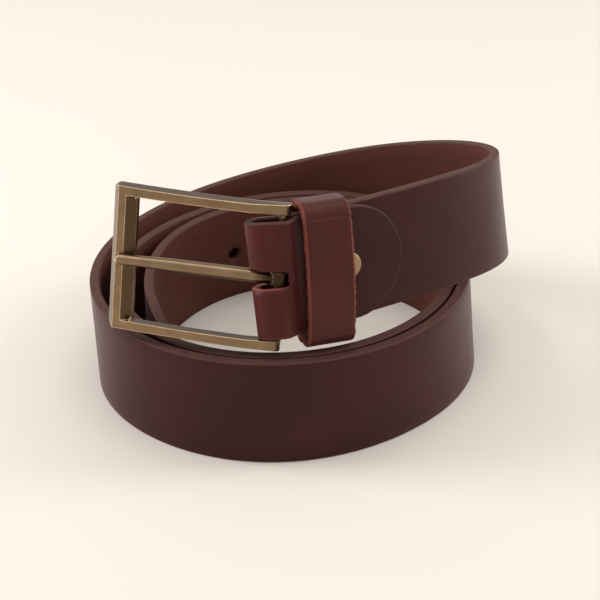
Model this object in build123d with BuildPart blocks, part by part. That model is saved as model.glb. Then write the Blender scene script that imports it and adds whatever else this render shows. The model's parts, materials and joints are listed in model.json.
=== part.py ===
"""Leather belt, rolled up and standing on its edge, in millimetres.

The origin is at the middle of the belt's footprint, at the level of the surface that
the belt stands on.  +Z is up, -Y is the front, where the buckle lies.
"""

import os
from math import atan2, cos, pi, radians, sin, sqrt, tan

import numpy as np
from build123d import *

os.makedirs("parts", exist_ok=True)

# ---------------------------------------------------------------- strap leather
strap_width = 38.0
fold_width = 37.5           # the folded end is trimmed a little narrower
strap_thickness = 3.4
pared_thickness = 2.4       # the folded end is pared thinner than the rest
layer_gap = 0.25            # air between the two layers where the screw closes the fold

# ---------------------------------------------------------------- fold over the heel bar
nose_at = 2.7               # where the half turn of the fold begins, from the route's start
fold_cavity = 6.4           # room between the layers around the heel bar
cavity_end = 7.4            # the layers start to close here
closed_at = 13.2            # and lie on each other from here on
closing_slant = radians(4.5)  # they close sooner towards the lower edge
pared_end = 22.0            # full thickness again from here on
tab_end = 46.5              # the round end of the folded tab
screw_at = 26.5
slot_start = -5.0
slot_end = 9.2
slot_half_width = 2.6
slot_flare = 2.0            # the upper side widens towards the nose, where the prong leaves
slot_corner = 1.0

# ---------------------------------------------------------------- belt end
tip_length = 24.0
tip_flat = 4.0              # width left at the very end of a rounded end
hole_diameter = 5.0
first_hole = 97.0           # from the tip
hole_pitch = 25.0
hole_count = 5

# ---------------------------------------------------------------- keeper loop
keeper_at = 19.5
keeper_width = 15.5
keeper_thickness = 2.4
keeper_height = 42.6        # inside, along the strap's width
keeper_drop = 1.2           # the loose loop hangs this far below the strap's middle
keeper_slant = radians(4.5)
keeper_back = -3.8          # inside face behind the strap, from the strap's middle
keeper_front = 7.8          # inside face at the middle of the front, with room for the belt's tip
keeper_bow = 2.0            # the front bows out by this
keeper_back_corner = 2.2
keeper_front_corner = 3.4
keeper_seam = 0.4
staple_wire = 1.0
staple_length = 9.0
staple_crown = 0.8           # stands out of the keeper's back
staple_leg = 1.9

# ---------------------------------------------------------------- buckle
heel_at = 5.6               # the heel bar, from the route's start
heel_diameter = 3.0
heel_socket = 2.2           # depth of its press fit in each ear
skew = radians(12)          # the heel bar lies aslant in the roomy fold
tilt = radians(1)
swing = radians(16)         # how far the frame hangs back about the heel bar
frame_length = 52.6         # heel bar to the front edge of the frame's face
front_flare = 2.8           # the front bar's outside slopes out by this towards the back
frame_height = 46.3
frame_back_height = 47.4
window_height = 40.8
window_corner = 1.2
frame_depth = 4.6
front_bar = 5.8
bevel_width = 3.2           # of the bevel along the inside of the front bar
bevel_depth = 2.6
ear_start = 8.6             # the side bars bend back here, towards the heel bar
ear_reach = 2.1             # of the ears past the heel bar
ear_drop = radians(16)
ear_rounding = 1.6
arch_rise = 1.0             # the frame's face is slightly arched along its length
outer_draft = 7.0           # degrees, the outside walls widen towards the back
frame_corner = 3.2
prong_diameter = 4.3
prong_tip_diameter = 3.6
prong_reach = 52.0
prong_taper_start = 34.0
prong_taper_end = 45.0
prong_point = 0.8           # rounding of the tip's edge
notch_depth = 0.7           # of the prong's rest in the front bar
notch_clearance = 0.1
ring_wall = 1.55
ring_width = 4.0
ring_shoulder = 0.2         # the ring stands above the prong's top by this
heel_clearance = 0.06

# ---------------------------------------------------------------- screw
head_diameter = 8.8
head_thickness = 1.2
barrel_diameter = 4.8
barrel_clearance = 0.1
shank_diameter = 3.0
shank_clearance = 0.02
inner_head_diameter = 7.0
inner_head_thickness = 0.9
shank_length = 4.6
bore_depth = 4.3
head_edge = 0.5             # rounding of the outer head
screw_slot_width = 1.1
screw_slot_depth = 0.5

# ---------------------------------------------------------------- coil
axis_x = -5.9
axis_y = -4.2
flat_from = 1245            # from this turn on the strap stands exactly upright

# The route of the strap's middle line, from the buckle to the tip.  Each station has
# the turn about the coil's axis in degrees, the distance from that axis, the height,
# and the lean of the strap's width towards the axis in degrees.
raised_stations = [
    (260, 46.0, 60.4, 17),
    (285, 44.0, 62.4, 12),
    (320, 46.0, 62.4, 11),
    (350, 60.5, 60.2, 11),
    (375, 77.5, 53.0, 9),
    (405, 78.5, 40.0, -2),
    (440, 68.0, 28.0, -7),
    (480, 61.0, 22.0, -7),
    (515, 61.5, 20.0, -8),
]
# From here on the strap stands on its edge, so its height follows from its lean.
resting_stations = [
    (540, 65.0, -3),
    (585, 65.0, -1),
    (630, 60.5, 1),
    (675, 59.5, 1),
    (720, 64.0, 6),
    (765, 64.5, 1),
    (810, 58.0, 4),
    (855, 53.5, 1),
    (900, 57.5, 0),
    (945, 60.0, 0),
    (990, 56.5, 1),
    (1035, 55.0, 1),
    (1080, 60.0, 6),
    (1125, 60.5, 1),
    (1170, 53.0, 4),
    (1215, 48.0, 1),
    (1260, 47.0, 0),
    (1308, 53.5, 0),
]


def blend(start, end, x):
    """From 1 at start to 0 at end, smoothly."""
    t = min(max((x - start) / (end - start), 0.0), 1.0)
    return 0.5 + 0.5 * cos(pi * t)


def resting_height(lean):
    """Height of the middle line of a strap that stands on its lower edge."""
    return (strap_width * cos(radians(lean)) + strap_thickness * abs(sin(radians(lean)))) / 2


stations = np.array(
    raised_stations
    + [(turn, radius, resting_height(lean), lean) for turn, radius, lean in resting_stations],
    float,
)


def spline_curvatures(x, y):
    """Second derivatives of the natural cubic spline through the points (x, y)."""
    count = len(x)
    step = np.diff(x)
    matrix = np.eye(count)
    right = np.zeros_like(y)
    for i in range(1, count - 1):
        matrix[i, i - 1 : i + 2] = step[i - 1], 2 * (step[i - 1] + step[i]), step[i]
        right[i] = 6 * ((y[i + 1] - y[i]) / step[i] - (y[i] - y[i - 1]) / step[i - 1])
    return np.linalg.solve(matrix, right)


turns = stations[:, 0]
values = stations[:, 1:]
curvatures = spline_curvatures(turns, values)


def route(turn):
    """Radius, height and lean at a turn angle."""
    i = min(max(np.searchsorted(turns, turn) - 1, 0), len(turns) - 2)
    step = turns[i + 1] - turns[i]
    a = (turns[i + 1] - turn) / step
    b = 1 - a
    bend = ((a**3 - a) * curvatures[i] + (b**3 - b) * curvatures[i + 1]) * step**2 / 6
    radius, height, lean = a * values[i] + b * values[i + 1] + bend
    if turn > resting_stations[0][0]:
        lean *= blend(flat_from - 30, flat_from, turn)
        height = resting_height(lean)
    return radius, height, lean


def route_point(turn):
    radius, height, _ = route(turn)
    return Vector(axis_x + radius * cos(radians(turn)), axis_y + radius * sin(radians(turn)), height)


# Distance along the route against turn angle, in steps of half a degree.
fine_turns = np.arange(turns[0], turns[-1] + 0.25, 0.5)
fine_points = [route_point(turn) for turn in fine_turns]
fine_steps = [(b - a).length for a, b in zip(fine_points, fine_points[1:])]
fine_lengths = np.concatenate([[0.0], np.cumsum(fine_steps)])
route_length = float(fine_lengths[-1])


class Place:
    """The strap's middle at a distance along the route, with the directions along the
    strap, across its width and out of its outer face."""

    def __init__(self, distance):
        turn = float(np.interp(distance, fine_lengths, fine_turns))
        ahead = route_point(min(turn + 0.25, turns[-1]))
        behind = route_point(max(turn - 0.25, turns[0]))
        lean = radians(route(turn)[2])
        self.turn = turn
        self.along = (ahead - behind).normalized()
        sideways = self.along.cross(Vector(0, 0, 1)).normalized()
        upright = sideways.cross(self.along)
        self.across = upright * cos(lean) - sideways * sin(lean)
        self.out = sideways * cos(lean) + upright * sin(lean)
        self.middle = route_point(turn)


def back_thickness(distance):
    """Thickness of the strap proper, which is pared where it meets the fold."""
    return strap_thickness - (strap_thickness - pared_thickness) * blend(nose_at, pared_end, distance)


def lift(distance):
    """From the middle of the strap to the middle of the tab that lies on it."""
    closed = (back_thickness(distance) + pared_thickness) / 2 + layer_gap
    opened = fold_cavity + pared_thickness
    return closed + (opened - closed) * blend(cavity_end, closed_at, distance)


def round_end_width(from_end, length):
    """Width of the strap at a distance from the end of a rounded tip."""
    if from_end >= length:
        return strap_width
    fraction = 1 - from_end / length
    return max(strap_width * sqrt(1 - fraction**2), tip_flat)


def cross_section(middle, along, across, width, thickness):
    """A rectangle across the strap."""
    with BuildSketch(Plane(origin=middle, x_dir=across, z_dir=along)) as section:
        Rectangle(width, thickness)
    return section.sketch


def tab_section(distance):
    """A section of the folded tab, which runs back towards the nose."""
    here = Place(distance)
    ahead = Place(distance + 0.5)
    slant_reach = fold_width / 2 * tan(closing_slant)
    upper_lift = lift(distance - slant_reach)
    lower_lift = lift(distance + slant_reach)
    middle = here.middle + here.out * (upper_lift + lower_lift) / 2
    across = (here.across * fold_width + here.out * (upper_lift - lower_lift)).normalized()
    along = (middle - ahead.middle - ahead.out * lift(distance + 0.5)).normalized()
    along = across.cross(along).cross(across)
    width = min(round_end_width(tab_end - distance, strap_width / 2), fold_width)
    return cross_section(middle, along, across, width, pared_thickness)


def nose_section(angle):
    """A section of the half turn, at an angle from its outer end."""
    here = Place(nose_at)
    radius = lift(nose_at) / 2
    centre = here.middle + here.out * radius
    spoke = here.out * cos(angle) - here.along * sin(angle)
    along = -here.along * cos(angle) - here.out * sin(angle)
    return cross_section(centre + spoke * radius, along, here.across, fold_width, pared_thickness)


def strap_section(distance):
    here = Place(distance)
    trimmed = (strap_width - fold_width) * blend(nose_at, pared_end, distance)
    width = round_end_width(route_length - distance, tip_length) - trimmed
    return cross_section(here.middle, here.along, here.across, width, back_thickness(distance))


def rounded_end_steps(length):
    """Distances from a rounded end to its full width, closer together at the end."""
    return [length * (1 - cos(radians(angle))) for angle in (6, 20, 35, 50, 65, 78, 90)]


# ================================================================ strap
tab_stops = [tab_end - step for step in rounded_end_steps(strap_width / 2)]
tab_stops += [24.0, 20.0, 17.0, 15.0, 13.5, 12.0, 10.5, 9.0, 7.5, 6.0, 4.5]
nose_angles = [radians(angle) for angle in range(0, 181, 20)]
lap_start = 4.5
lap_end = route_length - tip_length
lap_step = 7.0
lap_stops = list(np.linspace(lap_start, lap_end, round((lap_end - lap_start) / lap_step) + 1))
lap_stops += [route_length - step for step in reversed(rounded_end_steps(tip_length)[:-1])]

tab_sections = [tab_section(stop) for stop in tab_stops]
nose_sections = [nose_section(angle) for angle in nose_angles]
lap_sections = [strap_section(stop) for stop in lap_stops]
strap_sections = tab_sections + nose_sections + lap_sections

screw_place = Place(screw_at)
layers = strap_thickness + layer_gap + pared_thickness
inner_face = Plane(
    origin=screw_place.middle - screw_place.out * strap_thickness / 2,
    x_dir=screw_place.along,
    z_dir=screw_place.out,
)
outer_face = inner_face.offset(layers)
barrel_length = layers - inner_head_thickness

nose_place = Place(nose_at)
nose_plane = Plane(origin=nose_place.middle, x_dir=nose_place.along, z_dir=nose_place.out)
hole_places = [Place(route_length - first_hole - hole_pitch * k) for k in range(hole_count)]

keeper_place = Place(keeper_at)
keeper_across = keeper_place.across * cos(keeper_slant) + keeper_place.along * sin(keeper_slant)
keeper_middle = keeper_place.middle - keeper_across * keeper_drop
keeper_plane = Plane(
    origin=keeper_middle, x_dir=keeper_across, z_dir=keeper_across.cross(keeper_place.out)
)
staple_face = Plane(
    origin=keeper_middle + keeper_place.out * (keeper_back - keeper_thickness),
    x_dir=keeper_across,
    z_dir=-keeper_place.out,
)

# The heel bar's direction, and the frame's length and face, in the folded end.
heel_place = Place(heel_at)
bar_centre = heel_place.middle + heel_place.out * lift(heel_at) / 2
bar_tilted = heel_place.across * cos(tilt) + heel_place.out * sin(tilt)
bar_axis = bar_tilted * cos(skew) + heel_place.along * sin(skew)
unswung = (heel_place.along - bar_axis * heel_place.along.dot(bar_axis)).normalized()
lengthwise = unswung * cos(swing) + unswung.cross(bar_axis) * sin(swing)
facing = lengthwise.cross(bar_axis)
heel_plane = Plane(origin=bar_centre, x_dir=lengthwise, z_dir=bar_axis)
side_plane = Plane(origin=bar_centre, x_dir=lengthwise, z_dir=-bar_axis)

# The frame's side view: an arched face, then ears that drop straight to the heel bar.
bend_height = frame_depth / 2 + ear_start * tan(ear_drop)
ear_end_height = frame_depth / 2 - ear_reach * tan(ear_drop)
arch_top = bend_height + arch_rise
arch_middle = (frame_length + ear_start) / 2
arch_radius = ((arch_middle - ear_start) ** 2 + arch_rise**2) / (2 * arch_rise)
outline_start = frame_length + front_flare
window_end = frame_length - front_bar
outline_end = 4 * ear_reach  # the outline and the window run past the ears
heel_length = window_height + 2 * heel_socket


def face_height(reach):
    """Height of the arched face above the heel bar, at a distance from the heel bar."""
    return arch_top - arch_radius + sqrt(arch_radius**2 - (reach - arch_middle) ** 2)


face_plane = Plane(origin=bar_centre + facing * arch_top, x_dir=lengthwise, z_dir=facing)

# The prong runs straight from its ring to its rest on the front bar.
ring_radius = heel_diameter / 2 + heel_clearance + ring_wall
prong_root_height = ring_radius - prong_diameter / 2 - ring_shoulder
rest_at = frame_length - (front_bar - bevel_width) / 2
rest_height = face_height(rest_at) - notch_depth + prong_tip_diameter / 2
prong_rise = atan2(rest_height - prong_root_height, rest_at)
prong_direction = -lengthwise * cos(prong_rise) + facing * sin(prong_rise)
prong_plane = Plane(
    origin=bar_centre + facing * prong_root_height, x_dir=bar_axis, z_dir=prong_direction
)
prong_side = Plane(origin=prong_plane.origin, x_dir=prong_direction, z_dir=bar_axis)

with BuildPart() as strap:
    loft(strap_sections, ruled=True)
    # Slot for the prong, through both layers and round the nose.
    with BuildSketch(nose_plane.offset(-strap_thickness)) as slot:
        with BuildLine():
            Polyline(
                (slot_start - nose_at, -slot_half_width),
                (slot_end - nose_at, -slot_half_width),
                (slot_end - nose_at, slot_half_width),
                (slot_start - nose_at, slot_half_width + slot_flare),
                close=True,
            )
        make_face()
        fillet(slot.vertices().sort_by(Axis.X)[-2:], slot_corner)
    extrude(amount=fold_cavity + 3 * strap_thickness, mode=Mode.SUBTRACT)
    # Hole for the screw through both layers, with a recess inside for its flush head.
    with BuildSketch(inner_face.offset(-strap_thickness)):
        Circle(barrel_diameter / 2 + barrel_clearance)
    extrude(amount=4 * strap_thickness, mode=Mode.SUBTRACT)
    with BuildSketch(inner_face.offset(inner_head_thickness)):
        Circle(inner_head_diameter / 2 + barrel_clearance)
    extrude(amount=-strap_thickness, mode=Mode.SUBTRACT)
    # Adjustment holes.
    for place in hole_places:
        with BuildSketch(Plane(origin=place.middle - place.out * strap_thickness, z_dir=place.out)):
            Circle(hole_diameter / 2)
        extrude(amount=2 * strap_thickness, mode=Mode.SUBTRACT)
strap.part.label = "strap"
export_step(strap.part, "parts/strap.step")

# ================================================================ screw_post
with BuildPart() as screw_post:
    with BuildSketch(outer_face):
        Circle(head_diameter / 2)
    extrude(amount=head_thickness)
    fillet(screw_post.faces().sort_by(Axis(bar_centre, screw_place.out))[-1].edges(), head_edge)
    with BuildSketch(outer_face):
        Circle(barrel_diameter / 2)
    extrude(amount=-barrel_length)
    with BuildSketch(outer_face.offset(-barrel_length)):
        Circle(shank_diameter / 2 + shank_clearance)
    extrude(amount=bore_depth, mode=Mode.SUBTRACT)
screw_post.part.label = "screw_post"
export_step(screw_post.part, "parts/screw_post.step")

# ================================================================ screw
with BuildPart() as screw:
    with BuildSketch(inner_face):
        Circle(inner_head_diameter / 2)
    extrude(amount=inner_head_thickness)
    with BuildSketch(inner_face):
        Circle(shank_diameter / 2)
    extrude(amount=shank_length)
    with BuildSketch(inner_face):
        Rectangle(screw_slot_width, 2 * inner_head_diameter)
    extrude(amount=screw_slot_depth, mode=Mode.SUBTRACT)
screw.part.label = "screw"
export_step(screw.part, "parts/screw.step")

# ================================================================ keeper_loop
with BuildPart() as keeper_loop:
    with BuildSketch(keeper_plane) as keeper_band:
        with BuildLine():
            ThreePointArc(
                (-keeper_height / 2, keeper_front - keeper_bow),
                (0, keeper_front),
                (keeper_height / 2, keeper_front - keeper_bow),
            )
            Polyline(
                (keeper_height / 2, keeper_front - keeper_bow),
                (keeper_height / 2, keeper_back),
                (-keeper_height / 2, keeper_back),
                (-keeper_height / 2, keeper_front - keeper_bow),
            )
        make_face()
        fillet(keeper_band.vertices().sort_by(Axis.Y)[:2], keeper_back_corner)
        fillet(keeper_band.vertices().sort_by(Axis.Y)[-2:], keeper_front_corner)
        inside_face = keeper_band.sketch_local.face()
        offset(amount=keeper_thickness, kind=Kind.ARC)
        add(inside_face, mode=Mode.SUBTRACT)
        # Seam, where the two ends of the band meet behind the belt.
        with Locations((0, keeper_back - keeper_thickness / 2)):
            Rectangle(keeper_seam, 2 * keeper_thickness, mode=Mode.SUBTRACT)
    extrude(amount=keeper_width / 2, both=True)
    # Sockets for the staple's legs, from the outside of the back wall.
    with BuildSketch(staple_face):
        with GridLocations(staple_length - staple_wire, 0, 2, 1):
            Circle(staple_wire / 2)
    extrude(amount=-staple_leg, mode=Mode.SUBTRACT)
keeper_loop.part.label = "keeper_loop"
export_step(keeper_loop.part, "parts/keeper_loop.step")

# ================================================================ keeper_staple
with BuildPart() as keeper_staple:
    with BuildSketch(staple_face):
        SlotOverall(staple_length, staple_wire)
    extrude(amount=staple_crown)
    with BuildSketch(staple_face):
        with GridLocations(staple_length - staple_wire, 0, 2, 1):
            Circle(staple_wire / 2)
    extrude(amount=-staple_leg)
keeper_staple.part.label = "keeper_staple"
export_step(keeper_staple.part, "parts/keeper_staple.step")

# ================================================================ buckle_frame
with BuildPart() as buckle_frame:
    # Side view, as wide as the back of the frame.
    with BuildSketch(side_plane) as frame_side:
        with BuildLine():
            ThreePointArc(
                (-frame_length, face_height(frame_length)),
                (-arch_middle, arch_top),
                (-ear_start, bend_height),
            )
            Line((-ear_start, bend_height), (ear_reach, ear_end_height))
            Line((ear_reach, ear_end_height), (ear_reach, ear_end_height - frame_depth))
            Line((ear_reach, ear_end_height - frame_depth), (-ear_start, bend_height - frame_depth))
            ThreePointArc(
                (-ear_start, bend_height - frame_depth),
                (-arch_middle, arch_top - frame_depth),
                (-outline_start, face_height(outline_start) - frame_depth),
            )
            Line(
                (-outline_start, face_height(outline_start) - frame_depth),
                (-frame_length, face_height(frame_length)),
            )
        make_face()
        fillet(frame_side.vertices().sort_by(Axis.X)[-2:], ear_rounding)
    extrude(amount=frame_back_height / 2, both=True)
    # Outline of the face, which widens towards the back.
    with BuildSketch(face_plane):
        with Locations(((outline_end - outline_start) / 2, 0)):
            RectangleRounded(outline_start + outline_end, frame_height, frame_corner)
    extrude(amount=-2 * frame_depth, taper=-outer_draft, mode=Mode.INTERSECT)
    # Window, open between the ears.
    with BuildSketch(face_plane):
        with Locations(((outline_end - window_end) / 2, 0)):
            RectangleRounded(outline_end + window_end, window_height, window_corner)
    extrude(amount=-3 * frame_depth, mode=Mode.SUBTRACT)
    # Bevel along the inside of the front bar.
    with BuildSketch(side_plane):
        with BuildLine():
            Polyline(
                (-window_end - bevel_width, face_height(window_end + bevel_width)),
                (-window_end, face_height(window_end) - bevel_depth),
                (-window_end, arch_top + frame_depth),
                close=True,
            )
        make_face()
    extrude(amount=window_height / 2, both=True, mode=Mode.SUBTRACT)
    # Rest for the prong's tip.
    with BuildSketch(prong_plane.offset(prong_taper_end)):
        Circle(prong_tip_diameter / 2 + notch_clearance)
    extrude(amount=frame_length, mode=Mode.SUBTRACT)
    # Sockets for the heel bar.
    with BuildSketch(heel_plane.offset(-heel_length / 2)):
        Circle(heel_diameter / 2)
    extrude(amount=heel_length, mode=Mode.SUBTRACT)
buckle_frame.part.label = "buckle_frame"
export_step(buckle_frame.part, "parts/buckle_frame.step")

# ================================================================ heel_bar
with BuildPart() as heel_bar:
    with BuildSketch(heel_plane.offset(-heel_length / 2)):
        Circle(heel_diameter / 2)
    extrude(amount=heel_length)
heel_bar.part.label = "heel_bar"
export_step(heel_bar.part, "parts/heel_bar.step")

# ================================================================ prong
with BuildPart() as prong:
    with BuildSketch(prong_side) as prong_half:
        with BuildLine():
            Polyline(
                (0, 0),
                (prong_reach, 0),
                (prong_reach, prong_tip_diameter / 2),
                (prong_taper_end, prong_tip_diameter / 2),
                (prong_taper_start, prong_diameter / 2),
                (0, prong_diameter / 2),
                close=True,
            )
        make_face()
        fillet(prong_half.vertices().group_by(Axis.X)[-1].sort_by(Axis.Y)[-1], prong_point)
    revolve(axis=Axis(prong_plane.origin, prong_direction))
    with BuildSketch(heel_plane.offset(-ring_width / 2)):
        Circle(ring_radius)
    extrude(amount=ring_width)
    with BuildSketch(heel_plane):
        Circle(heel_diameter / 2 + heel_clearance)
    extrude(amount=prong_diameter, both=True, mode=Mode.SUBTRACT)
prong.part.label = "prong"
export_step(prong.part, "parts/prong.step")
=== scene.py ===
"""The looks of a leather belt, rolled up and standing on its edge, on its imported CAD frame.

The leather pieces are made here, in millimetres along the same route as the CAD strap,
and are scaled to metres at the end.  The metal pieces are the CAD nodes themselves.
"""

import json
import random
from math import asin, cos, degrees, pi, radians, sin, sqrt, tan

import bmesh
import bpy
import numpy as np
from mathutils import Matrix, Vector


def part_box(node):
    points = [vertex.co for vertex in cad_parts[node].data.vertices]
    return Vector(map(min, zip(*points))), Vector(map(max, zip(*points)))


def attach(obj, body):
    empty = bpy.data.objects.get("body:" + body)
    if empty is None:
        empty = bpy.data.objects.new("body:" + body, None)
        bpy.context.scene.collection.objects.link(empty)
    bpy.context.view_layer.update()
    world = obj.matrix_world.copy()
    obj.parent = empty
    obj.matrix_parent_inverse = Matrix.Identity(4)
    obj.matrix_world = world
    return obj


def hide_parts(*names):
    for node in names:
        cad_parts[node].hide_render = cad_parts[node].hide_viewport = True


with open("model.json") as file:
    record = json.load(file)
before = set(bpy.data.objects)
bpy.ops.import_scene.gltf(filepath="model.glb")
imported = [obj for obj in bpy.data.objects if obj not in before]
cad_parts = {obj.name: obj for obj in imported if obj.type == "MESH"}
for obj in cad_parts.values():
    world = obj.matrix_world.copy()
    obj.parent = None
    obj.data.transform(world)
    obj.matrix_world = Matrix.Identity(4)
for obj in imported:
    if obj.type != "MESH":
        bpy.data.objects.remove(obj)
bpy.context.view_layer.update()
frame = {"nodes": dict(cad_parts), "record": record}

MM = 0.001

# ---------------------------------------------------------------- sizes, in millimetres
# Names with _AT, _END and SLOT are distances along the route from its start beside the
# heel bar.  FIRST_HOLE counts back from the tip.
STRAP_WIDTH = 38.0
FOLD_WIDTH = 37.5
STRAP_THICKNESS = 3.4
PARED_THICKNESS = 2.4
LAYER_GAP = 0.25
NOSE_AT = 2.7
FOLD_CAVITY = 6.4
CAVITY_END = 7.4
CLOSED_AT = 13.2
CLOSING_SLANT = radians(4.5)
PARED_END = 22.0
TAB_END = 46.5
SCREW_AT = 26.5
SLOT = (-5.0, 9.2)
SLOT_HALF_WIDTH = 2.6
SLOT_FLARE = 2.0
SLOT_CORNER = 1.0
TIP_LENGTH = 24.0
TIP_FLAT = 4.0
HOLE_DIAMETER = 5.0
FIRST_HOLE = 97.0
HOLE_PITCH = 25.0
HOLE_COUNT = 5
BARREL_HOLE = 5.0
RECESS_DIAMETER = 7.2
RECESS_DEPTH = 0.9
EDGE_ROUNDING = 0.55

KEEPER_AT = 19.5
KEEPER_WIDTH = 15.5
KEEPER_THICKNESS = 2.4
KEEPER_HEIGHT = 42.6
KEEPER_DROP = 1.2
KEEPER_SLANT = radians(4.5)
KEEPER_BACK = -3.8
KEEPER_FRONT = 7.8
KEEPER_BOW = 2.0
KEEPER_BACK_CORNER = 2.2
KEEPER_FRONT_CORNER = 3.4
KEEPER_SEAM = 0.4
KEEPER_EDGE_ROUNDING = 0.6
KEEPER_FRAY = 0.28

# The coil turns round this axis.  Each station is a turn angle in degrees from +X, the
# radius there, the height of the strap's middle, and its lean in degrees, which is positive
# where the top edge leans in.  A resting station has no height of its own, because the
# strap stands on its lower edge there.
AXIS = np.array([-5.9, -4.2, 0.0])
RAISED_STATIONS = [
    (260, 46.0, 60.4, 17),
    (285, 44.0, 62.4, 12),
    (320, 46.0, 62.4, 11),
    (350, 60.5, 60.2, 11),
    (375, 77.5, 53.0, 9),
    (405, 78.5, 40.0, -2),
    (440, 68.0, 28.0, -7),
    (480, 61.0, 22.0, -7),
    (515, 61.5, 20.0, -8),
]
RESTING_STATIONS = [
    (540, 65.0, -3),
    (585, 65.0, -1),
    (630, 60.5, 1),
    (675, 59.5, 1),
    (720, 64.0, 6),
    (765, 64.5, 1),
    (810, 58.0, 4),
    (855, 53.5, 1),
    (900, 57.5, 0),
    (945, 60.0, 0),
    (990, 56.5, 1),
    (1035, 55.0, 1),
    (1080, 60.0, 6),
    (1125, 60.5, 1),
    (1170, 53.0, 4),
    (1215, 48.0, 1),
    (1260, 47.0, 0),
    (1308, 53.5, 0),
]
# From this turn on the strap has no lean, which fades out over the degrees before.
FLAT_FROM = 1245
FLATTENING_TURN = 30
# The route is measured in straight steps of this many degrees of turn.
FINE_STEP = 0.5

# How finely the leather is meshed.
LAP_SECTIONS = 540
NOSE_ANGLES = range(0, 181, 10)
END_ANGLES = range(6, 91, 7)
FLAT_FACES = 8
ROUNDING_FACES = 3
KEEPER_ARC_STEPS = 12
KEEPER_SECTION_STEP = 0.6


# ---------------------------------------------------------------- the strap's route
def unit(v):
    return v / np.linalg.norm(v)


def blend(start, end, x):
    """From 1 at start to 0 at end, smoothly."""
    t = min(max((x - start) / (end - start), 0.0), 1.0)
    return 0.5 + 0.5 * cos(pi * t)


def resting_height(lean):
    return (STRAP_WIDTH * cos(radians(lean)) + STRAP_THICKNESS * abs(sin(radians(lean)))) / 2


STATIONS = np.array(
    RAISED_STATIONS + [(t, r, resting_height(lean), lean) for t, r, lean in RESTING_STATIONS], float
)


def spline_curvatures(x, y):
    """Second derivatives of the natural cubic spline through the points (x, y)."""
    count = len(x)
    step = np.diff(x)
    matrix = np.eye(count)
    right = np.zeros_like(y)
    for i in range(1, count - 1):
        matrix[i, i - 1 : i + 2] = step[i - 1], 2 * (step[i - 1] + step[i]), step[i]
        right[i] = 6 * ((y[i + 1] - y[i]) / step[i] - (y[i] - y[i - 1]) / step[i - 1])
    return np.linalg.solve(matrix, right)


TURNS = STATIONS[:, 0]
VALUES = STATIONS[:, 1:]
CURVATURES = spline_curvatures(TURNS, VALUES)


def route(turn):
    """Radius, height and lean at a turn angle."""
    i = min(max(np.searchsorted(TURNS, turn) - 1, 0), len(TURNS) - 2)
    step = TURNS[i + 1] - TURNS[i]
    a = (TURNS[i + 1] - turn) / step
    b = 1 - a
    bend = ((a**3 - a) * CURVATURES[i] + (b**3 - b) * CURVATURES[i + 1]) * step**2 / 6
    radius, height, lean = a * VALUES[i] + b * VALUES[i + 1] + bend
    if turn > RESTING_STATIONS[0][0]:
        lean *= blend(FLAT_FROM - FLATTENING_TURN, FLAT_FROM, turn)
        height = resting_height(lean)
    return radius, height, lean


def route_point(turn):
    radius, height, _ = route(turn)
    return AXIS + np.array([radius * cos(radians(turn)), radius * sin(radians(turn)), height])


FINE_TURNS = np.arange(TURNS[0], TURNS[-1] + FINE_STEP / 2, FINE_STEP)
FINE_POINTS = np.array([route_point(turn) for turn in FINE_TURNS])
FINE_STEPS = np.linalg.norm(np.diff(FINE_POINTS, axis=0), axis=1)
FINE_LENGTHS = np.concatenate([[0.0], np.cumsum(FINE_STEPS)])
ROUTE_LENGTH = float(FINE_LENGTHS[-1])


class Place:
    """The strap's middle at a distance along the route, with its three directions."""

    def __init__(self, distance):
        turn = float(np.interp(distance, FINE_LENGTHS, FINE_TURNS))
        ahead = route_point(min(turn + FINE_STEP / 2, TURNS[-1]))
        behind = route_point(max(turn - FINE_STEP / 2, TURNS[0]))
        lean = radians(route(turn)[2])
        self.middle = route_point(turn)
        self.along = unit(ahead - behind)
        sideways = unit(np.cross(self.along, (0, 0, 1)))
        upright = np.cross(sideways, self.along)
        self.across = upright * cos(lean) - sideways * sin(lean)
        self.out = sideways * cos(lean) + upright * sin(lean)


def back_thickness(distance):
    """The strap's thickness, which is pared down towards the fold."""
    pared = (STRAP_THICKNESS - PARED_THICKNESS) * blend(NOSE_AT, PARED_END, distance)
    return STRAP_THICKNESS - pared


def lift(distance):
    """From the middle of the strap to the middle of the tab that lies on it."""
    closed = (back_thickness(distance) + PARED_THICKNESS) / 2 + LAYER_GAP
    opened = FOLD_CAVITY + PARED_THICKNESS
    return closed + (opened - closed) * blend(CAVITY_END, CLOSED_AT, distance)


def round_end_width(from_end, length):
    """The strap's width near an end that is rounded over a length."""
    if from_end >= length:
        return STRAP_WIDTH
    return max(STRAP_WIDTH * sqrt(1 - (1 - from_end / length) ** 2), TIP_FLAT)


# ---------------------------------------------------------------- sections of the strap
# A section is its middle, the directions across and through, its width and thickness.
def tab_section(distance):
    here = Place(distance)
    nearby = distance + 0.5
    ahead = Place(nearby)
    slant_reach = FOLD_WIDTH / 2 * tan(CLOSING_SLANT)
    upper_lift = lift(distance - slant_reach)
    lower_lift = lift(distance + slant_reach)
    middle = here.middle + here.out * (upper_lift + lower_lift) / 2
    across = unit(here.across * FOLD_WIDTH + here.out * (upper_lift - lower_lift))
    along = unit(middle - ahead.middle - ahead.out * lift(nearby))
    width = min(round_end_width(TAB_END - distance, STRAP_WIDTH / 2), FOLD_WIDTH)
    return middle, across, unit(np.cross(along, across)), width, PARED_THICKNESS


def nose_section(angle):
    """A section of the bend round the heel bar, from the tab at 0 to the strap at pi."""
    here = Place(NOSE_AT)
    radius = lift(NOSE_AT) / 2
    spoke = here.out * cos(angle) - here.along * sin(angle)
    middle = here.middle + here.out * radius + spoke * radius
    return middle, here.across, -spoke, FOLD_WIDTH, PARED_THICKNESS


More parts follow.
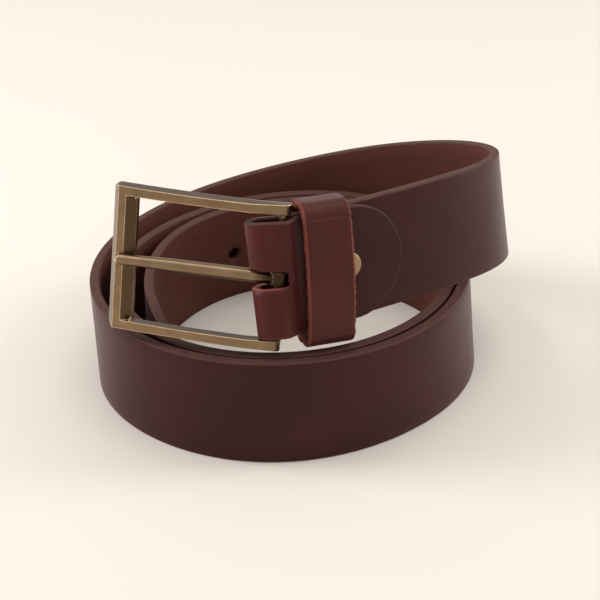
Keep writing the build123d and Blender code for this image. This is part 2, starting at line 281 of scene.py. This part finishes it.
def strap_section(distance):
    here = Place(distance)
    trimmed = (STRAP_WIDTH - FOLD_WIDTH) * blend(NOSE_AT, PARED_END, distance)
    width = round_end_width(ROUTE_LENGTH - distance, TIP_LENGTH) - trimmed
    return here.middle, here.across, here.out, width, back_thickness(distance)


def end_steps(length):
    """Distances from a rounded end, closest together where its outline turns fastest."""
    return [length * (1 - cos(radians(angle))) for angle in END_ANGLES]


# ---------------------------------------------------------------- meshes
# The material slots of a band of leather.  The fold's visible side is the one that would
# be the flesh side further along.
GRAIN, FLESH, EDGE, FOLD = range(4)

chance = random.Random(11)


def profile(width, thickness, rounding):
    """Points round a section, each with the slot of the face that starts at it."""
    half_w = width / 2
    half_t = thickness / 2
    straight = width - 2 * rounding
    points = []
    for k in range(FLAT_FACES):
        points.append((-half_w + rounding + straight * k / FLAT_FACES, half_t, GRAIN))
    corners = ((1, 1, 90), (1, -1, 0), (-1, -1, -90), (-1, 1, -180))
    for index, (side_x, side_y, start) in enumerate(corners):
        centre_x = side_x * (half_w - rounding)
        centre_y = side_y * (half_t - rounding)
        for k in range(ROUNDING_FACES + 1):
            last = k == ROUNDING_FACES
            if index == 3 and last:
                continue
            angle = radians(start - 90 * k / ROUNDING_FACES)
            x = centre_x + rounding * cos(angle)
            y = centre_y + rounding * sin(angle)
            points.append((x, y, FLESH if index == 1 and last else EDGE))
        if index == 1:
            for k in range(1, FLAT_FACES):
                points.append((half_w - rounding - straight * k / FLAT_FACES, -half_t, FLESH))
    return points


def make_object(name, vertices, faces, slots, materials, uvs=None):
    mesh = bpy.data.meshes.new(name)
    mesh.from_pydata([tuple(v) for v in vertices], [], faces)
    for material in materials:
        mesh.materials.append(material)
    mesh.polygons.foreach_set("material_index", slots)
    mesh.polygons.foreach_set("use_smooth", [True] * len(faces))
    if uvs is not None:
        layer = mesh.uv_layers.new(name="leather")
        layer.data.foreach_set("uv", [c for uv in uvs for c in uv])
    mesh.update()
    made = bpy.data.objects.new(name, mesh)
    bpy.context.scene.collection.objects.link(made)
    return made


def band_mesh(name, sections, rounding, fold_count, materials, fray=0.0):
    """A closed band of leather through its sections, with rounded edges.  The first
    fold_count sections are the fold's, and fray roughens the cut edges by that much.  The
    UV is the distance along the band and round its section, in metres."""
    rings = []
    lengths = [0.0]
    for i, (middle, across, through, width, thickness) in enumerate(sections):
        ring = []
        for x, y, _ in profile(width, thickness, rounding):
            frayed = abs(x) > width / 2 - rounding
            x += chance.uniform(-fray, fray) if frayed else 0.0
            ring.append(middle + across * x + through * y)
        rings.append(ring)
        if i:
            lengths.append(lengths[-1] + np.linalg.norm(middle - sections[i - 1][0]))
    outline = profile(sections[len(sections) // 2][3], STRAP_THICKNESS, rounding)
    count = len(outline)
    girth = [0.0]
    for k in range(count):
        x0, y0, _ = outline[k]
        x1, y1, _ = outline[(k + 1) % count]
        girth.append(girth[-1] + sqrt((x1 - x0) ** 2 + (y1 - y0) ** 2))
    vertices = [v for ring in rings for v in ring]
    faces = []
    slots = []
    uvs = []
    for i in range(len(sections) - 1):
        here = i * count
        beyond = here + count
        for k in range(count):
            n = (k + 1) % count
            faces.append((here + k, here + n, beyond + n, beyond + k))
            slot = outline[k][2]
            slots.append(FOLD if slot == FLESH and i < fold_count else slot)
            a, b = girth[k] * MM, girth[k + 1] * MM
            u, w = lengths[i] * MM, lengths[i + 1] * MM
            uvs += [(u, a), (u, b), (w, b), (w, a)]
    first = tuple(reversed(range(count)))
    last = tuple(range((len(sections) - 1) * count, len(sections) * count))
    for ring, at in ((first, lengths[0]), (last, lengths[-1])):
        faces.append(ring)
        slots.append(EDGE)
        uvs += [(at * MM, girth[k % count] * MM) for k in ring]
    return make_object(name, vertices, faces, slots, materials, uvs)


def prism(place, below, outline, depth):
    """A prism through the strap at a place, which starts that far below its middle."""
    start = place.middle - place.out * below
    return start, place.along, place.across, place.out, outline, depth


def cutter_mesh(prisms, material):
    """Closed prisms, each an outline in a plane and a depth."""
    vertices = []
    faces = []
    for origin, x_dir, y_dir, z_dir, outline, depth in prisms:
        base = len(vertices)
        count = len(outline)
        vertices += [origin + x_dir * x + y_dir * y for x, y in outline]
        vertices += [origin + x_dir * x + y_dir * y + z_dir * depth for x, y in outline]
        faces.append(tuple(base + k for k in reversed(range(count))))
        faces.append(tuple(base + count + k for k in range(count)))
        for k in range(count):
            n = (k + 1) % count
            faces.append((base + k, base + n, base + count + n, base + count + k))
    return make_object("cutter", vertices, faces, [0] * len(faces), [material])


def circle(radius, count=40):
    angles = [2 * pi * k / count for k in range(count)]
    return [(radius * cos(angle), radius * sin(angle)) for angle in angles]


def cut(piece, cutter):
    """Subtracts the cutter, whose material goes to the cut faces, and removes it."""
    modifier = piece.modifiers.new("cut", "BOOLEAN")
    modifier.operation = "DIFFERENCE"
    modifier.solver = "EXACT"
    modifier.material_mode = "TRANSFER"
    modifier.object = cutter
    apply_modifiers(piece)
    bpy.data.objects.remove(cutter)


def apply_modifiers(piece):
    graph = bpy.context.evaluated_depsgraph_get()
    mesh = bpy.data.meshes.new_from_object(piece.evaluated_get(graph))
    old = piece.data
    piece.modifiers.clear()
    piece.data = mesh
    bpy.data.meshes.remove(old)


def to_metres(piece):
    piece.data.transform(Matrix.Scale(MM, 4))
    piece.data.update()


# ---------------------------------------------------------------- materials
# The colour sockets of Blender's Mix node, whose names serve several types of value.
MIX_FACTOR, MIX_FIRST, MIX_SECOND = 0, 6, 7
MIX_RESULT = 2
# The fold shades the prong up to the first distance from the hinge, in metres, and no
# longer at the second.
SHADED_END = 0.0045
UNSHADED_FROM = 0.0085


class Nodes:
    """A short way to build a node material."""

    def __init__(self, name):
        self.material = bpy.data.materials.new(name)
        self.material.use_nodes = True
        self.tree = self.material.node_tree
        self.shader = self.tree.nodes["Principled BSDF"]

    def link(self, source, target):
        self.tree.links.new(source, target)

    def put(self, socket, value):
        """Gives a socket a number, a colour or a link."""
        if isinstance(value, (int, float)):
            socket.default_value = value
        elif isinstance(value, tuple):
            socket.default_value = (*value, 1.0)
        else:
            self.link(value, socket)

    def set(self, **values):
        for key, value in values.items():
            self.put(self.shader.inputs[key.replace("_", " ")], value)

    def add(self, kind, **values):
        node = self.tree.nodes.new(kind)
        for key, value in values.items():
            node.inputs[key.replace("_", " ")].default_value = value
        return node

    def coordinates(self, kind, scale=(1, 1, 1)):
        source = self.add("ShaderNodeTexCoord")
        mapping = self.add("ShaderNodeMapping", Scale=scale)
        self.link(source.outputs[kind], mapping.inputs["Vector"])
        return mapping.outputs["Vector"]

    def noise(self, vector, scale, detail=4.0, rough=0.55):
        node = self.add("ShaderNodeTexNoise", Scale=scale, Detail=detail, Roughness=rough)
        self.link(vector, node.inputs["Vector"])
        return node.outputs["Fac"]

    def voronoi(self, vector, scale):
        node = self.add("ShaderNodeTexVoronoi")
        node.feature = "DISTANCE_TO_EDGE"
        node.inputs["Scale"].default_value = scale
        self.link(vector, node.inputs["Vector"])
        return node.outputs["Distance"]

    def ramp(self, value, stops):
        node = self.add("ShaderNodeValToRGB")
        elements = node.color_ramp.elements
        while len(elements) < len(stops):
            elements.new(0.5)
        for element, (at, colour) in zip(elements, stops):
            element.position = at
            element.color = (*colour, 1.0)
        self.link(value, node.inputs["Fac"])
        return node.outputs["Color"]

    def mix(self, factor, first, second, mode="MIX"):
        node = self.add("ShaderNodeMix")
        node.data_type = "RGBA"
        node.blend_type = mode
        for index, value in ((MIX_FACTOR, factor), (MIX_FIRST, first), (MIX_SECOND, second)):
            self.put(node.inputs[index], value)
        return node.outputs[MIX_RESULT]

    def span(self, value, low, high):
        """From low to high as the value goes from 0 to 1."""
        node = self.add("ShaderNodeMapRange", To_Min=low, To_Max=high)
        self.link(value, node.inputs["Value"])
        return node.outputs["Result"]

    def rise(self, value, start, end):
        """From 0 to 1 as the value goes from start to end."""
        node = self.add("ShaderNodeMapRange", From_Min=start, From_Max=end)
        self.link(value, node.inputs["Value"])
        return node.outputs["Result"]

    def bump(self, height, strength, distance, normal=None):
        node = self.add("ShaderNodeBump", Strength=strength, Distance=distance)
        self.link(height, node.inputs["Height"])
        if normal is not None:
            self.link(normal, node.inputs["Normal"])
        return node.outputs["Normal"]

    def vector_math(self, operation, first, second):
        node = self.add("ShaderNodeVectorMath")
        node.operation = operation
        self.link(first, node.inputs[0])
        if isinstance(second, tuple):
            node.inputs[1].default_value = second
        else:
            self.link(second, node.inputs[1])
        return node.outputs["Value"]


def scaled(colour, factor):
    return tuple(min(c * factor, 1.0) for c in colour)


def grain_leather(name, dark, light, worn, roughness, bump_strength, tab_end_shade=None):
    """Smooth dyed grain leather: cloudy colour, fine pores and a soft wax gloss.  With a tint and
    two distances from the tab's end in metres, the colour is darkened by the tint up to the
    first of them, a painted shade over the tab's end, and the tint is gone at the second."""
    m = Nodes(name)
    place = m.coordinates("Object")
    clouds = m.noise(place, scale=26.0, detail=3.0)
    fine = m.noise(place, scale=420.0, detail=5.0, rough=0.65)
    pores = m.voronoi(place, scale=1350.0)
    colour = m.ramp(clouds, ((0.32, dark), (0.68, light)))
    colour = m.mix(m.span(fine, 0.0, 0.42), colour, worn)
    # Painted shade: darker towards the tab's end, faded out by distance along the band.
    if tab_end_shade is not None:
        tint, fade_start, fade_end = tab_end_shade
        split = m.add("ShaderNodeSeparateXYZ")
        m.link(m.coordinates("UV"), split.inputs["Vector"])
        fade = m.rise(split.outputs["X"], fade_start, fade_end)
        colour = m.mix(fade, m.mix(1.0, colour, tint, "MULTIPLY"), colour)
    rough = m.noise(place, scale=90.0)
    creases = m.bump(m.span(pores, 0.0, 1.0), strength=bump_strength, distance=0.00025)
    grain = m.bump(fine, strength=bump_strength * 0.8, distance=0.0002, normal=creases)
    m.set(Base_Color=colour, Normal=grain)
    m.set(Roughness=m.span(rough, roughness - 0.06, roughness + 0.08))
    m.set(IOR=1.2, Coat_Weight=0.14, Coat_Roughness=0.30)
    m.set(Sheen_Weight=0.10, Sheen_Roughness=0.35, Sheen_Tint=(1.0, 0.72, 0.84))
    return m.material


def flesh_leather(name, dark, light):
    """The matt fibrous back of the leather."""
    m = Nodes(name)
    place = m.coordinates("Object")
    clouds = m.noise(place, scale=34.0)
    fibres = m.noise(place, scale=900.0, detail=6.0, rough=0.7)
    colour = m.ramp(clouds, ((0.3, dark), (0.7, light)))
    colour = m.mix(m.span(fibres, 0.0, 0.5), colour, scaled(light, 1.5))
    m.set(Base_Color=colour, Roughness=m.span(fibres, 0.62, 0.86), IOR=1.3)
    m.set(Normal=m.bump(fibres, strength=0.45, distance=0.0003))
    return m.material


def cut_edge(name, dark, light, strength):
    """A cut edge, with the leather's layers and loose fibres along it."""
    m = Nodes(name)
    layers = m.noise(m.coordinates("UV", (140, 2600, 1)), scale=1.0, detail=5.0, rough=0.6)
    fuzz = m.noise(m.coordinates("Object"), scale=1500.0, detail=5.0, rough=0.7)
    colour = m.ramp(layers, ((0.3, dark), (0.72, light)))
    colour = m.mix(m.span(fuzz, 0.0, 0.55), colour, scaled(light, 1.7))
    m.set(Base_Color=colour, Roughness=m.span(fuzz, 0.5, 0.8), IOR=1.34)
    m.set(Normal=m.bump(m.mix(0.5, layers, fuzz), strength=strength, distance=0.0004))
    return m.material


def metal(name, dark, light, roughness, streaks, edge_radius, fold_shade_at=None, facing_shade=None):
    """Brushed metal with fine streaks, faint tarnish and slightly broken edges.

    Near a given point its colour is painted dark, a painted shade where the fold covers it.
    With a direction and two cosines to it, walls that turn further away than the first are
    painted dark, a painted shade that is gone at the second, and the edges are painted bright,
    partly as wear and partly as a painted highlight."""
    m = Nodes(name)
    place = m.coordinates("Object")
    lines = m.noise(m.coordinates("Object", streaks), scale=1.0, rough=0.6)
    tarnish = m.noise(place, scale=120.0)
    edges = m.add("ShaderNodeBevel", Radius=edge_radius)
    edges.samples = 6
    rounded = edges.outputs["Normal"]
    colour = m.ramp(tarnish, ((0.3, dark), (0.7, light)))
    colour = m.mix(m.span(lines, 0.0, 0.35), colour, scaled(dark, 0.62))
    # Painted shade: the prong is darkened near the hinge, where the fold covers it.
    if fold_shade_at:
        distance = m.vector_math("DISTANCE", place, fold_shade_at)
        away = m.rise(distance, SHADED_END, UNSHADED_FROM)
        colour = m.mix(away, scaled(dark, 0.2), colour)
    # Painted shade on walls turned away from the direction, and a painted highlight on the edges,
    # which also stands for wear.
    if facing_shade:
        facing, shade_cosine, lit_cosine = facing_shade
        toward = m.vector_math("DOT_PRODUCT", m.coordinates("Normal"), facing)
        facing_light = m.rise(toward, shade_cosine, lit_cosine)
        colour = m.mix(facing_light, scaled(dark, 0.42), colour)
        own_normal = m.add("ShaderNodeNewGeometry").outputs["Normal"]
        edge_wear_and_highlight = m.rise(m.vector_math("DOT_PRODUCT", own_normal, rounded), 0.995, 0.95)
        colour = m.mix(edge_wear_and_highlight, colour, scaled(light, 2.1))
    m.set(Base_Color=colour, Metallic=1.0)
    m.set(Roughness=m.span(lines, roughness - 0.06, roughness + 0.12))
    m.set(Normal=m.bump(lines, strength=0.12, distance=0.0001, normal=rounded))
    return m.material


strap_grain = grain_leather(
    "strap_grain",
    dark=(0.024, 0.0050, 0.0052),
    light=(0.038, 0.0074, 0.0070),
    worn=(0.060, 0.0132, 0.0124),
    roughness=0.38,
    bump_strength=0.12,
)
strap_flesh = flesh_leather("strap_flesh", (0.066, 0.0175, 0.0120), (0.098, 0.0290, 0.0205))
strap_edge = cut_edge("strap_edge", (0.020, 0.0070, 0.0052), (0.080, 0.030, 0.022), 0.9)
fold_grain = grain_leather(
    "fold_grain",
    dark=(0.047, 0.0068, 0.0052),
    light=(0.066, 0.0100, 0.0076),
    worn=(0.096, 0.018, 0.0130),
    roughness=0.42,
    bump_strength=0.14,
    tab_end_shade=((0.46, 0.68, 0.84), 0.030, 0.045),
)
slot_edge = cut_edge("slot_edge", (0.13, 0.026, 0.017), (0.26, 0.070, 0.048), 0.6)
keeper_grain = grain_leather(
    "keeper_grain",
    dark=(0.027, 0.0066, 0.0055),
    light=(0.068, 0.0125, 0.0095),
    worn=(0.086, 0.0205, 0.0155),
    roughness=0.38,
    bump_strength=0.14,
)
keeper_flesh = flesh_leather("keeper_flesh", (0.050, 0.014, 0.009), (0.075, 0.023, 0.015))
keeper_edge = cut_edge("keeper_edge", (0.055, 0.0105, 0.0065), (0.165, 0.040, 0.025), 0.9)

# The frame's face looks at right angles to its hinge and to its own length.  The prong's
# painted light is turned upwards as well, so its top is painted lighter and its underside darker.
joints = frame["record"]["behaviour"]["joints"]
hinge = next(joint for joint in joints if joint["name"] == "buckle_swing")
frame_low, frame_high = (np.array(corner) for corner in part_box("buckle_frame"))
to_frame = (frame_low + frame_high) / 2 - np.array(hinge["pos_m"])
frame_face = unit(np.cross(np.array(hinge["axis"]), to_frame))
prong_face = unit(frame_face + (0, 0, 0.7))

BRUSHED = (60, 2400, 2400)
EVEN = (900, 900, 900)
frame_brass = metal(
    "antique_brass",
    dark=(0.24, 0.155, 0.085),
    light=(0.37, 0.245, 0.140),
    roughness=0.26,
    streaks=BRUSHED,
    edge_radius=0.0005,
    facing_shade=(tuple(float(c) for c in frame_face), 0.86, 0.97),
)
prong_brass = metal(
    "brass_prong",
    dark=(0.24, 0.155, 0.09),
    light=(0.36, 0.24, 0.145),
    roughness=0.28,
    streaks=BRUSHED,
    edge_radius=0.0003,
    fold_shade_at=tuple(hinge["pos_m"]),
    facing_shade=(tuple(float(c) for c in prong_face), -0.1, 0.92),
)
screw_brass = metal("brass_screw", (0.30, 0.20, 0.11), (0.42, 0.29, 0.17), 0.32, EVEN, 0.0002)
steel = metal("staple_steel", (0.42, 0.41, 0.39), (0.55, 0.54, 0.52), 0.3, EVEN, 0.0001)

# ---------------------------------------------------------------- strap
tab_stops = [TAB_END - step for step in end_steps(STRAP_WIDTH / 2)]
tab_stops += list(np.arange(TAB_END - STRAP_WIDTH / 2 - 1.0, NOSE_AT + 0.5, -1.0))
lap_stops = list(np.linspace(NOSE_AT + 1.0, ROUTE_LENGTH - TIP_LENGTH, LAP_SECTIONS))
lap_stops += [ROUTE_LENGTH - step for step in reversed(end_steps(TIP_LENGTH)[:-1])]
sections = [tab_section(stop) for stop in tab_stops]
sections += [nose_section(radians(angle)) for angle in NOSE_ANGLES]
fold_count = len(sections) - 1
sections += [strap_section(stop) for stop in lap_stops]
strap_materials = [strap_grain, strap_flesh, strap_edge, fold_grain]
strap = band_mesh("belt_strap", sections, EDGE_ROUNDING, fold_count, strap_materials)

slot_near = SLOT[0] - NOSE_AT
slot_far = SLOT[1] - NOSE_AT
slot_outline = [(slot_near, SLOT_HALF_WIDTH + SLOT_FLARE), (slot_near, -SLOT_HALF_WIDTH)]
for side, start in ((-1, -90), (1, 0)):
    for angle in range(start, start + 91, 15):
        x = slot_far - SLOT_CORNER + SLOT_CORNER * cos(radians(angle))
        y = side * (SLOT_HALF_WIDTH - SLOT_CORNER) + SLOT_CORNER * sin(radians(angle))
        slot_outline.append((x, y))
slot_depth = FOLD_CAVITY + 3 * STRAP_THICKNESS
slot_cut = prism(Place(NOSE_AT), STRAP_THICKNESS, slot_outline, slot_depth)

screw_place = Place(SCREW_AT)
screw_below = 1.5 * STRAP_THICKNESS
recess_depth = STRAP_THICKNESS + RECESS_DEPTH
round_cuts = [prism(screw_place, screw_below, circle(BARREL_HOLE / 2), 4 * STRAP_THICKNESS)]
recess_cut = prism(screw_place, screw_below, circle(RECESS_DIAMETER / 2), recess_depth)
for k in range(HOLE_COUNT):
    hole = Place(ROUTE_LENGTH - FIRST_HOLE - HOLE_PITCH * k)
    round_cuts.append(prism(hole, STRAP_THICKNESS, circle(HOLE_DIAMETER / 2), 2 * STRAP_THICKNESS))
cut(strap, cutter_mesh([slot_cut], slot_edge))
cut(strap, cutter_mesh(round_cuts, strap_edge))
cut(strap, cutter_mesh([recess_cut], strap_edge))
to_metres(strap)

# ---------------------------------------------------------------- keeper loop
keeper_place = Place(KEEPER_AT)
keeper_across = keeper_place.across * cos(KEEPER_SLANT) + keeper_place.along * sin(KEEPER_SLANT)
keeper_along = np.cross(keeper_across, keeper_place.out)
keeper_middle = keeper_place.middle - keeper_across * KEEPER_DROP


def keeper_path():
    """Points of the band's middle line round the strap, from one side of the seam at the
    back to the other, with the direction out of the band in degrees."""
    half = KEEPER_HEIGHT / 2
    wall = KEEPER_THICKNESS / 2
    back_corner = KEEPER_BACK_CORNER
    corner = KEEPER_FRONT_CORNER
    arc = (half**2 + KEEPER_BOW**2) / (2 * KEEPER_BOW)
    centre_y = KEEPER_FRONT - arc
    corner_x = half - corner
    corner_y = centre_y + sqrt((arc - corner) ** 2 - corner_x**2)
    meet = degrees(asin(corner_x / (arc - corner)))
    # Each arc: its centre, its radius to the middle of the wall, its two angles.
    arcs = [
        (half - back_corner, KEEPER_BACK + back_corner, back_corner + wall, -90, 0),
        (corner_x, corner_y, corner + wall, 0, 90 - meet),
        (0, centre_y, arc + wall, 90 - meet, 90 + meet),
        (-corner_x, corner_y, corner + wall, 90 + meet, 180),
        (back_corner - half, KEEPER_BACK + back_corner, back_corner + wall, 180, 270),
    ]
    points = [(KEEPER_SEAM / 2, KEEPER_BACK - wall, -90.0)]
    for x, y, radius, start, end in arcs:
        for k in range(KEEPER_ARC_STEPS + 1):
            angle = start + (end - start) * k / KEEPER_ARC_STEPS
            spoke_x = radius * cos(radians(angle))
            spoke_y = radius * sin(radians(angle))
            points.append((x + spoke_x, y + spoke_y, angle))
    points.append((-KEEPER_SEAM / 2, KEEPER_BACK - wall, 270.0))
    dense = []
    for (x0, y0, a0), (x1, y1, a1) in zip(points, points[1:]):
        steps = max(1, round(sqrt((x1 - x0) ** 2 + (y1 - y0) ** 2) / KEEPER_SECTION_STEP))
        for k in range(steps):
            t = k / steps
            dense.append((x0 + (x1 - x0) * t, y0 + (y1 - y0) * t, a0 + (a1 - a0) * t))
    return dense + [points[-1]]


keeper_sections = []
for x, y, angle in keeper_path():
    middle = keeper_middle + keeper_across * x + keeper_place.out * y
    outward = keeper_across * cos(radians(angle)) + keeper_place.out * sin(radians(angle))
    keeper_sections.append((middle, keeper_along, outward, KEEPER_WIDTH, KEEPER_THICKNESS))
keeper = band_mesh(
    "belt_keeper",
    keeper_sections,
    KEEPER_EDGE_ROUNDING,
    0,
    [keeper_grain, keeper_flesh, keeper_edge],
    KEEPER_FRAY,
)
to_metres(keeper)

for piece in (strap, keeper):
    mesh = bmesh.new()
    mesh.from_mesh(piece.data)
    bmesh.ops.recalc_face_normals(mesh, faces=mesh.faces)
    mesh.to_mesh(piece.data)
    mesh.free()

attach(strap, "belt")
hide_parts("strap")
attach(keeper, "keeper")
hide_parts("keeper_loop")

# ---------------------------------------------------------------- metal pieces
for node, material in (
    ("buckle_frame", frame_brass),
    ("heel_bar", frame_brass),
    ("prong", prong_brass),
    ("screw_post", screw_brass),
    ("screw", screw_brass),
    ("keeper_staple", steel),
):
    data = frame["nodes"][node].data
    data.materials.clear()
    data.materials.append(material)

# ---------------------------------------------------------------- floor, light, camera
FLOOR_HALF_SIZE = 6.0
floor_material = Nodes("floor")
floor_clouds = floor_material.noise(floor_material.coordinates("Object"), scale=6.0, detail=2.0)
floor_stops = ((0.0, (0.722, 0.673, 0.600)), (1.0, (0.742, 0.693, 0.618)))
floor_material.set(Base_Color=floor_material.ramp(floor_clouds, floor_stops), Roughness=0.9)
floor_mesh = bpy.data.meshes.new("floor")
floor_corners = [
    (side_x * FLOOR_HALF_SIZE, side_y * FLOOR_HALF_SIZE, 0)
    for side_x, side_y in ((-1, -1), (1, -1), (1, 1), (-1, 1))
]
floor_mesh.from_pydata(floor_corners, [], [(0, 1, 2, 3)])
floor_mesh.materials.append(floor_material.material)
floor = bpy.data.objects.new("floor", floor_mesh)
bpy.context.scene.collection.objects.link(floor)


def area_light(name, place, aim, width, height, power, colour):
    """A rectangular light of that many watts, sizes in metres."""
    data = bpy.data.lights.new(name, "AREA")
    data.shape = "RECTANGLE"
    data.size = width
    data.size_y = height
    data.energy = power
    data.color = colour
    light = bpy.data.objects.new(name, data)
    light.location = place
    light.rotation_euler = (Vector(aim) - Vector(place)).to_track_quat("-Z", "Y").to_euler()
    bpy.context.scene.collection.objects.link(light)


SIDE_LIGHT_COLOUR = (1.0, 0.93, 0.97)
TOP_LIGHT_COLOUR = (1.0, 0.98, 0.95)
BELT_MIDDLE = (0, 0, 0.04)
area_light("left", (-0.75, 0.05, 0.45), BELT_MIDDLE, 0.3, 0.8, 5.0, SIDE_LIGHT_COLOUR)
area_light("right", (0.8, 0.1, 0.45), BELT_MIDDLE, 0.3, 0.8, 4.0, SIDE_LIGHT_COLOUR)
area_light("top", (0.0, 0.05, 1.0), (0, 0, 0), 0.7, 0.7, 2.6, TOP_LIGHT_COLOUR)

world = bpy.data.worlds.new("studio")
world.use_nodes = True
background = world.node_tree.nodes["Background"]
background.inputs["Color"].default_value = (1.0, 0.99, 0.975, 1.0)
background.inputs["Strength"].default_value = 0.71
bpy.context.scene.world = world
bpy.context.scene.view_settings.view_transform = "Standard"

CAMERA_ELEVATION = radians(32.75)
CAMERA_DISTANCE = 0.573
FOCAL_PIXELS = 1590.6
IMAGE_PIXELS = 600
SENSOR_WIDTH = 36.0
camera_data = bpy.data.cameras.new("camera")
camera_data.sensor_width = SENSOR_WIDTH
camera_data.lens = SENSOR_WIDTH * FOCAL_PIXELS / IMAGE_PIXELS
camera_data.shift_x = 0.023
camera_data.shift_y = 0.0986
camera_data.clip_start = 0.01
camera = bpy.data.objects.new("camera", camera_data)
camera.location = (
    AXIS[0] * MM,
    AXIS[1] * MM - CAMERA_DISTANCE * cos(CAMERA_ELEVATION),
    CAMERA_DISTANCE * sin(CAMERA_ELEVATION),
)
camera.rotation_euler = (pi / 2 - CAMERA_ELEVATION, 0, 0)
bpy.context.scene.collection.objects.link(camera)
bpy.context.scene.camera = camera
